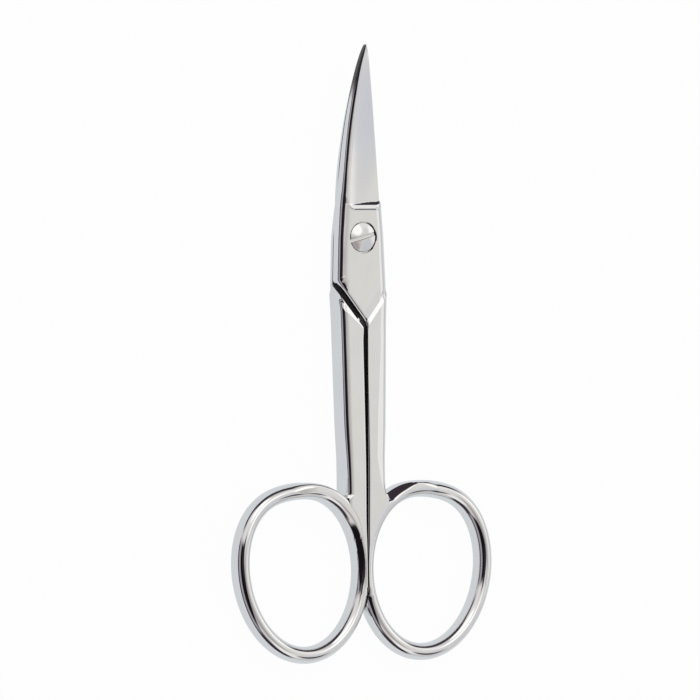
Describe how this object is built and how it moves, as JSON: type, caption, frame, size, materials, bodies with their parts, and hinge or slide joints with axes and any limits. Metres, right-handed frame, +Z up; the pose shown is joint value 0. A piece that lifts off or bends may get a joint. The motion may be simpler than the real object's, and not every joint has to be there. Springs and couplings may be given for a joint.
{
  "type": "manicure scissors",
  "caption": "Slim nail scissors with short curved blades, a flat box joint with a slotted pivot screw, straight shanks and oval finger rings.",
  "frame": {"origin": "centre of the underside of the closed scissors' bounding box, on the surface that the shanks lie on", "axes": "+Y along the scissors from the finger rings to the tips, +X across them towards the front half's ring, +Z up, the side of the screw's head and of the blades' upward curve"},
  "size_m": [0.0442, 0.09, 0.0055],
  "materials": {
    "half_nickel": "polished nickel plate on forged stainless steel",
    "screw_nickel": "polished, nickel-plated turned steel"
  },
  "bodies": {
    "back": {"back_half": "half_nickel", "pivot_screw": "screw_nickel"},
    "front": {"front_half": "half_nickel"}
  },
  "joints": [
    {"name": "pivot", "type": "hinge", "parent": "back", "child": "front", "pos_m": [0, 0.01692, 0.00205], "axis": [0, 0, 1], "range_deg": [0, 120]}
  ]
}
